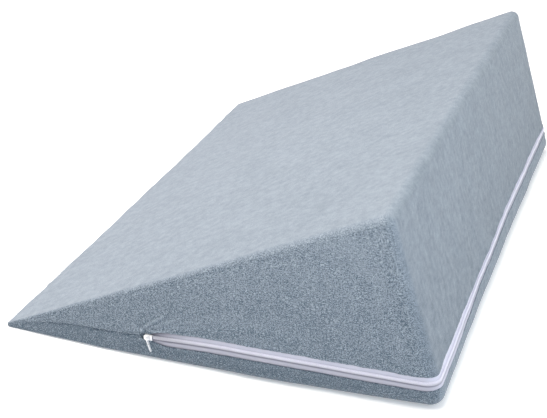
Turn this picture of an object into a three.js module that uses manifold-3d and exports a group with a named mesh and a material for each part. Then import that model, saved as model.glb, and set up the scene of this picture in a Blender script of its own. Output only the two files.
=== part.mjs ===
// A wedge pillow: a foam wedge in a terry cover, with a long zip round its foot.
// Millimetres, +Z up. The origin is the middle of the base, on the surface it rests on.
// X runs from the thin edge (-X) to the tall back (+X), and Y across the pillow.
import * as THREE from 'three';
import { mergeVertices } from 'three/addons/utils/BufferGeometryUtils.js';
import Module from 'manifold-3d';

// Wedge
const LENGTH = 600;            // thin edge to back, along the floor
const WIDTH = 900;             // across
const HEIGHT = 255;            // floor to the peak's sharp corner
const LEAN = 84;               // how far the peak stands in from the foot of the back
const TIP = 6;                 // thickness of the thin edge
const R_TIP = 2.2;             // rounding of the thin edge
const R_FOOT = 18;             // rounding at the foot of the back, and of its upright corners there
const R_PEAK = 12;             // rounding at the peak
// How the stuffed cover departs from flat faces
const SIDE_CROWN_LOW = 12;     // side walls bow out at the floor, mid-length
const SIDE_CROWN_HIGH = 4;     // and at their top edge
const TIP_DRAWN_IN = 4;        // the thin edge is drawn in between its corners
const FOOT_DRAWN_IN = 4;       // so is the foot of the back
const SLOPE_CROWN = 6;         // the slope rises in the middle
const BACK_CROWN = 2;          // the back swells in the middle
const CROWN_X = -40;           // where the slope's crown is highest
// Height of the seam line above the floor, by distance from the thin edge
const SEAM = [[0, 3.4], [20, 10], [56, 18.6], [87, 23.4], [111, 26.3], [140, 28], [176, 29.8], [204, 32.2],
  [230, 33.9], [247, 35.2], [280, 37.1], [313, 38.5], [330, 39.1], [392, 40], [424, 40], [485, 39], [530, 39.2],
  [600, 38.2]];
// Its climb on the back, by share of the way across; on the far side this fades out
const BACK_RISE = [[0, 0], [0.07, 0], [0.14, 1.5], [0.23, 3.8], [0.32, 5.7], [0.43, 7.4], [0.55, 9.1],
  [0.61, 9.4], [0.68, 8.4], [0.78, 7], [0.92, 5.5], [1, 4.8]];
const RISE_FROM = 455;         // distance from the thin edge where the climb begins
const RISE_OVER = 120;
const GROOVE_HALF = 1.6;       // plain seam: half width of the groove
const GROOVE_DEPTH = 1.5;
const GROOVE_EDGE = 0.3;       // its depth at its edges
const LIP = 0.8;               // how far the fabric rolls over beside the seam or zip
const LIP_RISE = 0.4;
const ROOM_DOWN = 0.95;        // the most of the wall below the seam that the band may take
const ROOM_UP = 0.6;           // and of the wall above it
// Zip
const ZIP_START = 217;         // slider, measured from the thin edge
const ZIP_OPENING = 15;        // over about this length the tapes come into sight
const FIRST_SHOWN = 0.1;       // share of the band that shows at the slider
const BAND_UP = 8.5;           // visible band above the chain's centre line
const BAND_DOWN = 10.4;        // and below it
const NARROWING = 0.42;        // share by which the band narrows round the near back corner
const NARROW_FROM = 0.08;      // where that begins, as a share of the way across
const NARROW_OVER = 0.24;
const CHANNEL_EDGE = 2.8;      // depth of the channel at its edges
const CHANNEL_MID = 1.9;       // and along the middle
const SLIDER_POCKET = 2.2;     // extra depth under the slider
const SLIDER_ROOM = 4.2;       // least half width of the channel, so that the slider fits
const GAP = 0.3;               // between neighbouring pieces
const TAPE = 1.0;              // tape thickness
const TAPE_SLACK = 0.1;        // extra gap at the tape's outer edge
const COIL_HALF = 2.5;         // half the chain's width
const COIL_RISE = 1.9;         // height of a half chain on its tape
const COIL_SHAPE = [[0, 0], [1, 0], [1, 0.5], [0.7, 0.94], [0.15, 1], [0, 0.8]];
//                             section of a half chain: [share of its width, share of its height]
const STOP_LENGTH = 3.5;       // stop at the chain's far end
const STOP_GAP = 1;
// Slider, with x along the chain, y into the pillow and z up the wall
const SLIDER_LENGTH = 11.5;
const SLIDER_WIDTH = 7.4;
const SLIDER_NOSE = 3.7;       // how far its solid front stands before the chain's start
const SLIDER_MOUTH = 0.9;      // width of its rear, as a share
const SLIDER_TIP = 0.45;       // and of its nose
const PLATE_OUT = 2.9;         // outer face of the top plate, out from the wall
const PLATE_IN = 3.6;          // inner face of the bottom plate, in from the wall
const THROAT = 0.6;            // where the tunnel and the slots begin
const TUNNEL_OUT = 1.95;       // the chain's tunnel reaches this far out from the wall
const SLOT_OUT = -0.3;         // the tapes' slots
const SLOT_IN = 2.9;
const BRIDGE_LENGTH = 6.4;     // the arch that holds the pull
const BRIDGE_HEIGHT = 3.4;
const BRIDGE_WIDTH = 1.4;
const BRIDGE_BAR = 1.0;        // thickness of the arch
const BRIDGE_ROOT = 0.4;       // how deep it is rooted in the plate
const BRIDGE_FLAT = 0.4;       // share of the arch that is flat on top
// Pull
const PULL_LENGTH = 21;
const PULL_WIDTH = 4.4;
const PULL_END = 0.72;         // width of its lower end, as a share
const PULL_THICK = 1.1;
const PULL_EYE = 1.55;         // radius of its eye
const PULL_CLEAR = 0.6;        // between the top of the eye and the bar, so that the pull can lean
const PULL_LEAN = THREE.MathUtils.degToRad(14);
// Mesh density
const ROUND_STEPS = 2;         // steps in half of each rounding
const ACROSS_STEPS = 16;
const UPPER_ROWS = 6;
const SLIDER_CURVE = 5;        // steps in the curves of the slider's outline
const BRIDGE_CURVE = 4;        // of the arch's
const PULL_CURVE = 8;          // and of the pull's
// Where the columns stand along the length, measured from the thin edge
const STATIONS = [30, 70, 120, 165, 201, 212, 223, 233, 246, 264, 300, 350, 405, 460, 520];

const lerp = (a, b, t) => a + (b - a) * t;
const clamp = (v, lo, hi) => Math.min(hi, Math.max(lo, v));
const smooth = (t) => { const k = clamp(t, 0, 1); return k * k * (3 - 2 * k); };
function table(rows, x) {
  let k = 0;
  while (k < rows.length - 2 && x > rows[k + 1][0]) k += 1;
  const [[x0, y0], [x1, y1]] = [rows[k], rows[k + 1]];
  return lerp(y0, y1, clamp((x - x0) / (x1 - x0), 0, 1));
}

// The wedge's section in XZ: four lines, each with its outward normal and its distance from the origin
function line(nx, nz, px, pz) {
  const n = new THREE.Vector2(nx, nz).normalize();
  return { n, d: n.x * px + n.y * pz };
}
const BASE = line(0, -1, 0, 0);
const FRONT = line(-1, 0, -LENGTH / 2, 0);
const SLOPE = line(TIP - HEIGHT, LENGTH - LEAN, -LENGTH / 2, TIP);
const BACK = line(HEIGHT, LEAN, LENGTH / 2, 0);

// Where two lines cross after both are moved in by the rounding radius
function meet(a, b, r) {
  const det = a.n.x * b.n.y - a.n.y * b.n.x;
  const [da, db] = [a.d - r, b.d - r];
  return new THREE.Vector2((da * b.n.y - db * a.n.y) / det, (a.n.x * db - b.n.x * da) / det);
}
const IN_FRONT_LOW = meet(FRONT, BASE, R_TIP);
const IN_FRONT_HIGH = meet(FRONT, SLOPE, R_TIP);
const IN_BACK_LOW = meet(BACK, BASE, R_FOOT);
const IN_BACK_HIGH = meet(BACK, SLOPE, R_PEAK);

// The gentle shape of the filled cover, applied to every point of the cushion and the zip
function swell(p) {
  const s = clamp(2 * p.y / WIDTH, -1, 1);
  const t = clamp(2 * p.x / LENGTH, -1, 1);
  const across = 1 - s * s;
  const along = 1 - t * t;
  const front = clamp(-t, 0, 1) ** 2;
  const back = clamp(t, 0, 1) ** 2;
  const up = clamp(p.z / HEIGHT, 0, 1);
  const slopeHere = (p.x + LENGTH / 2) * HEIGHT / (LENGTH - LEAN) + TIP;
  const top = clamp(p.z / Math.max(slopeHere, TIP), 0, 1);
  const reach = clamp(1 - ((p.x - CROWN_X) / (LENGTH / 2)) ** 2, 0, 1);
  return new THREE.Vector3(
    p.x + TIP_DRAWN_IN * front * across - FOOT_DRAWN_IN * back * across * (1 - up) ** 2
      + BACK_CROWN * across * back * 4 * up * (1 - up),
    p.y * (1 + 2 * lerp(SIDE_CROWN_LOW, SIDE_CROWN_HIGH, top) / WIDTH * along),
    p.z + SLOPE_CROWN * across * reach * top);
}

// A column is a place round the wedge: u from thin edge to back, v across, and how far it has turned
// into the rounding at either end (-1 to 1, lu and lv). w and lw do the same from base to slope.
const turn = (l) => Math.tan(Math.abs(l) * Math.PI / 4);
function normalAt(lu, lv, lw) {
  const n = new THREE.Vector3(0, Math.sign(lv) * turn(lv), 0);
  const add = (side, k) => { n.x += side.n.x * k; n.z += side.n.y * k; };
  add(lu < 0 ? FRONT : BACK, turn(lu));
  add(lw < 0 ? BASE : SLOPE, turn(lw));
  return n.normalize();
}
function flatPoint(c, w, lw, out) {
  const low = IN_FRONT_LOW.clone().lerp(IN_BACK_LOW, c.u);
  const high = IN_FRONT_HIGH.clone().lerp(IN_BACK_HIGH, c.u);
  const q = low.lerp(high, w);
  const r = lerp(R_TIP, lerp(R_FOOT, R_PEAK, w), c.u);
  const n = normalAt(c.lu, c.lv, lw);
  return new THREE.Vector3(q.x, (2 * c.v - 1) * (WIDTH / 2 - r), q.y).addScaledVector(n, r + out);
}
const point = (c, w, lw, out) => swell(flatPoint(c, w, lw, out));

// Height along the wall, measured from the seam line, to w
const fromTip = (c) => lerp(IN_FRONT_LOW.x, IN_BACK_LOW.x, c.u) + LENGTH / 2;
const uAt = (x) => (x - LENGTH / 2 - IN_FRONT_LOW.x) / (IN_BACK_LOW.x - IN_FRONT_LOW.x);
function heights(c) {
  return [flatPoint(c, 0, 0, 0).z, flatPoint(c, 1, 0, 0).z];
}
const upright = (c) => { const n = normalAt(c.lu, c.lv, 0); return Math.sqrt(1 - n.z * n.z); };
function seamHeight(c) {
  const reach = smooth((fromTip(c) - RISE_FROM) / RISE_OVER);
  return table(SEAM, fromTip(c)) + table(BACK_RISE, c.v) * reach;
}
function wallW(c, h) {
  const [z0, z1] = heights(c);
  return (seamHeight(c) + h * upright(c) - z0) / (z1 - z0);
}

// The zip's opening: 0 at the plain seam, 1 where the channel is cut, and how much of the band shows there
const [CUT_FROM, CUT_TO, POCKET_TO, POCKET_END] = [STATIONS[4], STATIONS[5], STATIONS[7], STATIONS[8]];
const cut = (c) => smooth((fromTip(c) - CUT_FROM) / (CUT_TO - CUT_FROM));
const shown = (c) => 1 - (1 - FIRST_SHOWN) * Math.exp(-Math.max(fromTip(c) - ZIP_START, 0) / ZIP_OPENING);
function pocket(c) {
  if (c.v > 0) return 0;
  return SLIDER_POCKET * cut(c) * smooth((POCKET_END - fromTip(c)) / (POCKET_END - POCKET_TO));
}
// The band's reach up and down the wall, no more than the wall has room for, and its depths
function band(c) {
  const [z0, z1] = heights(c);
  const seamZ = seamHeight(c);
  const open = shown(c) * (1 - NARROWING * smooth((c.v - NARROW_FROM) / NARROW_OVER));
  const half = (full) => lerp(GROOVE_HALF, Math.max(full * open, SLIDER_ROOM), cut(c));
  const [down, up] = [half(BAND_DOWN), half(BAND_UP)];
  const kDown = Math.min(1, ROOM_DOWN * (seamZ - z0) / upright(c) / (down + LIP));
  const kUp = Math.min(1, ROOM_UP * (z1 - seamZ) / upright(c) / (up + LIP));
  const k = Math.min(kDown, kUp);
  return {
    down: down * kDown,
    up: up * kUp,
    lipDown: (down + LIP) * kDown,
    lipUp: (up + LIP) * kUp,
    clear: (up + 3 * LIP) * kUp,
    rise: LIP_RISE * k,
    mid: lerp(GROOVE_DEPTH, CHANNEL_MID, cut(c)) * k,
    edge: lerp(GROOVE_EDGE, CHANNEL_EDGE, cut(c)) * k,
    pocket: pocket(c),
  };
}

// Rows of the wall, bottom to top: [w, outward offset]
function wallRows(c) {
  const b = band(c);
  const halfway = 0.5 * (b.mid + b.edge);
  const rows = [
    [0, 0],
    [wallW(c, -b.lipDown), b.rise],
    [wallW(c, -b.down), -b.edge - b.pocket],
    [wallW(c, -b.down / 2), -halfway - b.pocket],
    [wallW(c, 0), -b.mid - b.pocket],
    [wallW(c, b.up / 2), -halfway - b.pocket],
    [wallW(c, b.up), -b.edge - b.pocket],
    [wallW(c, b.lipUp), b.rise],
  ];
  const last = wallW(c, b.clear);
  for (let j = 0; j <= UPPER_ROWS; j += 1) rows.push([lerp(last, 1, j / UPPER_ROWS), 0]);
  return rows;
}

// Turns and places along one direction: the rounding at one end, the flat stretch, the other rounding
function ends(places) {
  const steps = [];
  for (let i = ROUND_STEPS; i > 0; i -= 1) steps.push([-i / ROUND_STEPS, 0]);
  places.forEach((p) => steps.push([0, p]));
  for (let i = 1; i <= ROUND_STEPS; i += 1) steps.push([i / ROUND_STEPS, 1]);
  return steps;
}
const spread = (n) => Array.from({ length: n + 1 }, (unused, i) => i / n);
const LENGTHWISE = ends([0, ...STATIONS.map(uAt), 1]);
const CROSSWISE = ends(spread(ACROSS_STEPS));

// A closed mesh from grids of points; each grid is wound so that its faces point out
function closedMesh(grids) {
  const position = [];
  const add = (...points) => points.forEach((p) => position.push(p.x, p.y, p.z));
  grids.forEach(({ rows, flip }) => {
    for (let i = 0; i + 1 < rows.length; i += 1) {
      for (let j = 0; j + 1 < rows[i].length; j += 1) {
        const [a, b, c, d] = [rows[i][j], rows[i + 1][j], rows[i + 1][j + 1], rows[i][j + 1]];
        if (flip) add(a, c, b, a, d, c);
        else add(a, b, c, a, c, d);
      }
    }
  });
  const geometry = new THREE.BufferGeometry();
  geometry.setAttribute('position', new THREE.Float32BufferAttribute(position, 3));
  return mergeVertices(geometry);
}

// Cushion: the base and the slope are caps, and four walls join them
function wall(column, turns, flip) {
  const rows = turns.map((step) => {
    const c = column(step);
    const side = wallRows(c);
    const foot = [];
    const head = [];
    for (let i = ROUND_STEPS; i > 0; i -= 1) foot.push(point(c, 0, -i / ROUND_STEPS, 0));
    for (let i = 1; i <= ROUND_STEPS; i += 1) head.push(point(c, 1, i / ROUND_STEPS, 0));
    return [...foot, ...side.map(([w, out]) => point(c, w, 0, out)), ...head];
  });
  return { rows, flip };
}
function cap(w, lw, flip) {
  const rows = LENGTHWISE.map(([lu, u]) => CROSSWISE.map(([lv, v]) => point({ u, v, lu, lv }, w, lw, 0)));
  return { rows, flip };
}
const nearSide = ([lu, u]) => ({ u, v: 0, lu, lv: -1 });
const farSide = ([lu, u]) => ({ u, v: 1, lu, lv: 1 });
const backSide = ([lv, v]) => ({ u: 1, v, lu: 1, lv });
const frontSide = ([lv, v]) => ({ u: 0, v, lu: -1, lv });
const cushionGeometry = closedMesh([
  cap(0, -1, true), cap(1, 1, false),
  wall(nearSide, LENGTHWISE, false), wall(farSide, LENGTHWISE, true),
  wall(backSide, CROSSWISE, false), wall(frontSide, CROSSWISE, true)]);

// Zip: its pieces follow the same columns, from the slider along the near side, round the back and up
// the far side
const ZIP_FIRST = LENGTHWISE.findIndex(([, u]) => u > uAt(ZIP_START));
const nearColumns = LENGTHWISE.slice(ZIP_FIRST).map(nearSide);
const backColumns = CROSSWISE.slice(1, -1).map(backSide);
const farColumns = LENGTHWISE.slice(ZIP_FIRST).map(farSide).reverse();
const PATH = [...nearColumns, ...backColumns, ...farColumns];

// A strip along the path; corners(c) gives its section as [height, outward] pairs, going round
function strip(columns, corners) {
  const rings = columns.map((c) => corners(c).map(([h, out]) => point(c, wallW(c, h), 0, out)));
  const rows = rings.map((ring) => [...ring, ring[0]]);
  const lid = (ring) => {
    const n = ring.length;
    const half = n / 2;
    return { rows: [ring.slice(0, half), ring.slice(half).reverse()], flip: false };
  };
  const start = lid(rings[0]);
  const finish = lid(rings.at(-1));
  start.flip = true;
  return closedMesh([{ rows, flip: false }, start, finish]);
}

// How deep the channel floor lies under a point of the band
const floorAt = (b, h) => lerp(b.mid, b.edge, Math.abs(h) / (h > 0 ? b.up : b.down));
function tapeSection(sign) {
  return (c) => {
    const b = band(c);
    const outer = (sign > 0 ? b.up : b.down) - GAP - TAPE_SLACK;
    const hs = [GAP / 2, outer / 2, outer].map((h) => h * sign);
    const under = hs.map((h) => [h, -(floorAt(b, h) - GAP)]);
    const over = hs.map((h) => [h, -(floorAt(b, h) - GAP - TAPE)]).reverse();
    const ring = [...under, ...over];
    return sign > 0 ? ring.reverse() : ring;
  };
}
function coilSection(sign) {
  return (c) => {
    const foot = -(band(c).mid - GAP - TAPE - GAP);
    const ring = COIL_SHAPE.map(([across, up]) => [
      sign * lerp(GAP / 2, COIL_HALF, across), foot + up * COIL_RISE]);
    return sign > 0 ? ring.reverse() : ring;
  };
}
// The chain stops one column short of the tapes' far end
const chainPath = PATH.slice(0, -1);

const wasm = await Module();
wasm.setup();
function solid(geometry) {
  geometry.deleteAttribute('normal');
  geometry.deleteAttribute('uv');
  const merged = mergeVertices(geometry);
  return new wasm.Manifold(new wasm.Mesh({
    numProp: 3,
    vertProperties: new Float32Array(merged.attributes.position.array),
    triVerts: new Uint32Array(merged.index.array),
  }));
}
function unwrap(manifold) {
  const mesh = manifold.getMesh();
  const geometry = new THREE.BufferGeometry();
  geometry.setAttribute('position', new THREE.Float32BufferAttribute(mesh.vertProperties, 3));
  geometry.setIndex(Array.from(mesh.triVerts));
  return geometry;
}
// A block from its low and high corners, in slider coordinates
function block(x0, x1, y0, y1, z0, z1) {
  const g = new THREE.BoxGeometry(x1 - x0, y1 - y0, z1 - z0);
  g.translate((x0 + x1) / 2, (y0 + y1) / 2, (z0 + z1) / 2);
  return g;
}
// The slider's outline seen from outside: a rounded nose in front, a wider mouth behind
function sliderOutline() {
  const nose = -SLIDER_NOSE;
  const mouth = SLIDER_LENGTH - SLIDER_NOSE;
  const half = SLIDER_WIDTH / 2;
  const s = new THREE.Shape();
  s.moveTo(mouth, -SLIDER_MOUTH * half);
  s.lineTo(mouth, SLIDER_MOUTH * half);
  s.lineTo(THROAT, half);
  s.quadraticCurveTo(nose, half, nose, SLIDER_TIP * half);
  s.lineTo(nose, -SLIDER_TIP * half);
  s.quadraticCurveTo(nose, -half, THROAT, -half);
  s.closePath();
  return s;
}
// The bridge that holds the pull: an arch that stands out from the top plate, towards -y
function bridgeOutline() {
  const half = BRIDGE_LENGTH / 2;
  const inner = half - BRIDGE_BAR;
  const under = BRIDGE_HEIGHT - BRIDGE_BAR;
  const knee = -BRIDGE_HEIGHT / 2;
  const flat = half * BRIDGE_FLAT;
  const s = new THREE.Shape();
  s.moveTo(-half, BRIDGE_ROOT);
  s.lineTo(-half, knee);
  s.quadraticCurveTo(-half, -BRIDGE_HEIGHT, -flat, -BRIDGE_HEIGHT);
  s.lineTo(flat, -BRIDGE_HEIGHT);
  s.quadraticCurveTo(half, -BRIDGE_HEIGHT, half, knee);
  s.lineTo(half, BRIDGE_ROOT);
  s.lineTo(inner, BRIDGE_ROOT);
  s.lineTo(inner, knee);
  s.quadraticCurveTo(inner, -under, flat, -under);
  s.lineTo(-flat, -under);
  s.quadraticCurveTo(-inner, -under, -inner, knee);
  s.lineTo(-inner, BRIDGE_ROOT);
  s.closePath();
  return s;
}
function extrude(shape, depth, curveSegments) {
  return new THREE.ExtrudeGeometry(shape, { depth, bevelEnabled: false, curveSegments });
}
const SLIDER_MIDDLE = SLIDER_LENGTH / 2 - SLIDER_NOSE;
function sliderGeometry() {
  const plates = extrude(sliderOutline(), PLATE_OUT + PLATE_IN, SLIDER_CURVE);
  plates.rotateX(Math.PI / 2);
  plates.translate(0, PLATE_IN, 0);
  const tunnelHalf = COIL_HALF + GAP;
  const tunnel = block(THROAT, SLIDER_LENGTH, -TUNNEL_OUT, SLOT_IN, -tunnelHalf, tunnelHalf);
  const slots = block(THROAT, SLIDER_LENGTH, -SLOT_OUT, SLOT_IN, -SLIDER_WIDTH, SLIDER_WIDTH);
  const bridge = extrude(bridgeOutline(), BRIDGE_WIDTH, BRIDGE_CURVE);
  bridge.translate(SLIDER_MIDDLE, -PLATE_OUT, -BRIDGE_WIDTH / 2);
  return unwrap(solid(plates).subtract(solid(tunnel)).subtract(solid(slots)).add(solid(bridge)));
}
// Pull: a slim plate with a rounded head, its eye round the bridge; it hangs edge-on to the chain
function pullGeometry() {
  const s = new THREE.Shape();
  const half = PULL_WIDTH / 2;
  const end = -PULL_LENGTH + PULL_WIDTH;
  s.absarc(0, 0, half, 0, Math.PI, false);
  s.lineTo(-PULL_END * half, end);
  s.absarc(0, end, PULL_END * half, Math.PI, 2 * Math.PI, false);
  s.closePath();
  const eye = new THREE.Path();
  eye.absarc(0, 0, PULL_EYE, 0, 2 * Math.PI, true);
  s.holes.push(eye);
  const g = extrude(s, PULL_THICK, PULL_CURVE);
  g.translate(0, 0, -PULL_THICK / 2);
  g.rotateX(Math.PI / 2);
  g.rotateZ(Math.PI / 2);
  return g;
}

const finish = (color, roughness, metalness) => (
  new THREE.MeshStandardMaterial({ color, roughness, metalness }));
const terry = finish(0x8f9dab, 0.95, 0);
const tapeWhite = finish(0xe2e2ee, 0.8, 0);
const coilWhite = finish(0xe6e6f0, 0.5, 0);
const enamel = finish(0xf2f3f6, 0.3, 0.4);

const pillow = new THREE.Group();
function piece(name, geometry, material, parent = pillow) {
  const mesh = new THREE.Mesh(geometry, material);
  mesh.name = name;
  parent.add(mesh);
  return mesh;
}
piece('cushion', cushionGeometry, terry);
piece('zip_tape_upper', strip(PATH, tapeSection(1)), tapeWhite);
piece('zip_tape_lower', strip(PATH, tapeSection(-1)), tapeWhite);
piece('coil_upper', strip(chainPath, coilSection(1)), coilWhite);
piece('coil_lower', strip(chainPath, coilSection(-1)), coilWhite);

// The slider sits on the near side at the start of the zip, turned to follow the wall
const onNear = (x, h, out) => { const c = nearSide([0, uAt(x)]); return point(c, wallW(c, h), 0, out); };
const seat = onNear(ZIP_START, 0, 0);
const ahead = onNear(ZIP_START + SLIDER_LENGTH, 0, 0);
const slider = new THREE.Group();
slider.position.copy(seat);
const yaw = Math.atan2(ahead.y - seat.y, ahead.x - seat.x);
const rise = Math.atan2(ahead.z - seat.z, ahead.x - seat.x);
slider.rotation.set(0, -rise, yaw, 'ZYX');
pillow.add(slider);
piece('slider_body', sliderGeometry(), enamel, slider);
const pull = piece('pull_tab', pullGeometry(), enamel, slider);
// The eye hangs round the bridge's bar
const barOut = PLATE_OUT + BRIDGE_HEIGHT - BRIDGE_BAR / 2;
pull.position.set(SLIDER_MIDDLE, -barOut, BRIDGE_WIDTH / 2 + PULL_CLEAR - PULL_EYE);
pull.rotation.y = -PULL_LEAN;

// Bottom stop: on the tapes just past the chain's far end, level with the chain
const farEnd = chainPath.at(-1);
const stopOut = COIL_RISE / 2 + GAP + TAPE + GAP - CHANNEL_MID;
const stopAt = point(farEnd, wallW(farEnd, 0), 0, stopOut);
const stopMesh = piece('bottom_stop', new THREE.BoxGeometry(STOP_LENGTH, COIL_RISE, 2 * COIL_HALF), enamel);
stopMesh.position.set(stopAt.x - STOP_LENGTH / 2 - STOP_GAP, stopAt.y, stopAt.z);
stopMesh.rotation.set(0, -rise, -yaw, 'ZYX');

export default pillow;
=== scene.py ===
# %% [markdown]
# # A wedge pillow in a terry cover, built step by step
#
# The real pillow is a block of foam cut as a wedge, inside a fitted cover of looped terry cloth. The cover
# is cut in two: a base panel that turns up about four centimetres all round, and an upper cover. A plain
# seam joins them round the thin edge, and a long zip joins them round the tall back. This file dresses the
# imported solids: it loads them as a fixed frame, builds each soft or fine piece as a numpy surface in the
# same place, gives every piece a material made of nodes, and lights it as a studio would.

# %% Load the frame
from collections import namedtuple

import bmesh
import bpy
import numpy as np
from mathutils import Matrix, Vector


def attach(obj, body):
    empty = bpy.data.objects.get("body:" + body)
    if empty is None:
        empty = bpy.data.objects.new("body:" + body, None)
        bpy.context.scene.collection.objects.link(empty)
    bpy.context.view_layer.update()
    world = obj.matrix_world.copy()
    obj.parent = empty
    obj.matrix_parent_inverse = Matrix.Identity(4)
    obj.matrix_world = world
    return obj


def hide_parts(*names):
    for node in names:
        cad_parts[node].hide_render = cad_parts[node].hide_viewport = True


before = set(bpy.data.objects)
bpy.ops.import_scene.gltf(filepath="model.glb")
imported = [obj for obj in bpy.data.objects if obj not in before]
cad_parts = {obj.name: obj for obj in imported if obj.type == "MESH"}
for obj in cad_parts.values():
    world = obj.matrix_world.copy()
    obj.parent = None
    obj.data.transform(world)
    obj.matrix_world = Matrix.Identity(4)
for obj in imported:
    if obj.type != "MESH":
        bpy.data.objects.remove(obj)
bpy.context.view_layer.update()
print("nodes", sorted(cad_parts))

# %% [markdown]
# ## The camera
# A photograph fixes the camera by the object's outline: direction, height, tilt, distance and lens
# together. These values put the wedge's six corners where the photograph has them. The camera looks at a
# point inside the pillow, from the near right, a little above. It is made first, so that each new piece can
# be looked at at once.

# %% Camera
MM = 0.001
AIM = Vector((-18.8, -170.7, 100)) * MM
AZIMUTH, ELEVATION, TILT = np.radians([18.26, 25.08, 1.24])
DISTANCE = 1876 * MM
LENS_IN_PIXELS = 1308.6
PHOTO_WIDTH = 547

level = Vector((np.sin(AZIMUTH), -np.cos(AZIMUTH), 0))
to_camera = level * np.cos(ELEVATION) + Vector((0, 0, np.sin(ELEVATION)))
camera = bpy.data.objects.new("camera", bpy.data.cameras.new("camera"))
camera.data.sensor_width = 36
camera.data.lens = camera.data.sensor_width * LENS_IN_PIXELS / PHOTO_WIDTH
camera.data.clip_start, camera.data.clip_end = 0.05, 50
turn = (-to_camera).to_track_quat("-Z", "Y").to_matrix().to_4x4() @ Matrix.Rotation(TILT, 4, "Z")
camera.matrix_world = Matrix.Translation(AIM + to_camera * DISTANCE) @ turn
bpy.context.scene.collection.objects.link(camera)
bpy.context.scene.camera = camera
print(f"camera {camera.location[:]}, lens {camera.data.lens:.1f} mm")

# %% [markdown]
# ## The wedge as a formula
# Seen from the side the wedge has four edges: base, thin front, slope and back. Each is a straight line
# moved in by the rounding radius. A point of the surface is a point of that inner shape plus the radius
# times a normal, and the normal turns smoothly from one face to the next. So a place on the wedge is four
# numbers: `u` from the thin edge to the back, `v` across, and how far it has turned into the rounding at
# either end, `lu` and `lv`. Two more, `w` and `lw`, do the same from base to slope. Foam is soft, so no
# face stays flat: `swell` bows the sides, crowns the slope and the back, and draws in the thin edge and the
# foot. All sizes are in millimetres until a mesh is made.

# %% Driving sizes of the wedge
LENGTH, WIDTH, HEIGHT = 600.0, 900.0, 255.0
LEAN, TIP = 84.0, 6.0
R_TIP, R_FOOT, R_PEAK = 2.2, 18.0, 12.0
SIDE_CROWN_LOW, SIDE_CROWN_HIGH = 12.0, 4.0
TIP_DRAWN_IN, FOOT_DRAWN_IN = 4.0, 4.0
SLOPE_CROWN, BACK_CROWN, CROWN_X = 6.0, 2.0, -40.0
TUCKED_UNDER = 4.5

# Height of the seam by distance from the thin edge, and the zip's climb by share of the way across the back
SEAM = np.array([(0, 3.4), (20, 10), (56, 18.6), (87, 23.4), (111, 26.3), (140, 28), (176, 29.8),
                 (204, 32.2), (230, 33.9), (247, 35.2), (280, 37.1), (313, 38.5), (330, 39.1), (392, 40),
                 (424, 40), (485, 39), (530, 39.2), (600, 38.2)])
BACK_RISE = np.array([(0, 0), (0.07, 0), (0.14, 1.5), (0.23, 3.8), (0.32, 5.7), (0.43, 7.4), (0.55, 9.1),
                      (0.61, 9.4), (0.68, 8.4), (0.78, 7), (0.92, 5.5), (1, 4.8)])
RISE_FROM, RISE_OVER = 455.0, 120.0

Place = namedtuple("Place", "u v lu lv")


def line(nx, nz, px, pz):
    """A line in XZ through a point: its outward normal and its distance from the origin."""
    n = np.array([nx, nz]) / np.hypot(nx, nz)
    return n, n @ (px, pz)


def meet(a, b, r):
    """Where two lines cross after both move in by r."""
    return np.linalg.solve(np.stack([a[0], b[0]]), [a[1] - r, b[1] - r])


BASE = line(0, -1, 0, 0)
FRONT = line(-1, 0, -LENGTH / 2, 0)
SLOPE = line(TIP - HEIGHT, LENGTH - LEAN, -LENGTH / 2, TIP)
BACK = line(HEIGHT, LEAN, LENGTH / 2, 0)
FRONT_LOW, FRONT_HIGH = meet(FRONT, BASE, R_TIP), meet(FRONT, SLOPE, R_TIP)
BACK_LOW, BACK_HIGH = meet(BACK, BASE, R_FOOT), meet(BACK, SLOPE, R_PEAK)
print("inner corners", FRONT_LOW.round(1), BACK_LOW.round(1), BACK_HIGH.round(1), FRONT_HIGH.round(1))

# %% Points and normals


def mix(a, b, t):
    return a + (b - a) * t


def smooth(t):
    t = np.clip(t, 0, 1)
    return t * t * (3 - 2 * t)


def normals(lu, lv, lw):
    """Unit normal: the tangent of each turn, times that side's own normal, all added up."""
    lu, lv, lw = np.broadcast_arrays(lu, lv, lw)
    ku, kv, kw = [np.tan(np.abs(t) * np.pi / 4) for t in (lu, lv, lw)]
    x = ku * np.where(lu < 0, FRONT[0][0], BACK[0][0]) + kw * np.where(lw < 0, BASE[0][0], SLOPE[0][0])
    z = ku * np.where(lu < 0, FRONT[0][1], BACK[0][1]) + kw * np.where(lw < 0, BASE[0][1], SLOPE[0][1])
    n = np.stack([x, np.sign(lv) * kv, z], -1)
    return n / np.linalg.norm(n, axis=-1, keepdims=True)


def flat_point(p, w, lw=0.0, out=0.0):
    """Inner point by bilinear mix of the four inner corners, plus (radius + out) times the normal."""
    u, v, w, lw, out = np.broadcast_arrays(p.u, p.v, w, lw, out)
    low = mix(FRONT_LOW, BACK_LOW, u[..., None])
    high = mix(FRONT_HIGH, BACK_HIGH, u[..., None])
    xz = mix(low, high, w[..., None])
    r = mix(R_TIP, mix(R_FOOT, R_PEAK, w), u)
    inner = np.stack([xz[..., 0], (2 * v - 1) * (WIDTH / 2 - r), xz[..., 1]], -1)
    return inner + normals(p.lu, p.lv, lw) * (r + out)[..., None]


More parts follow.
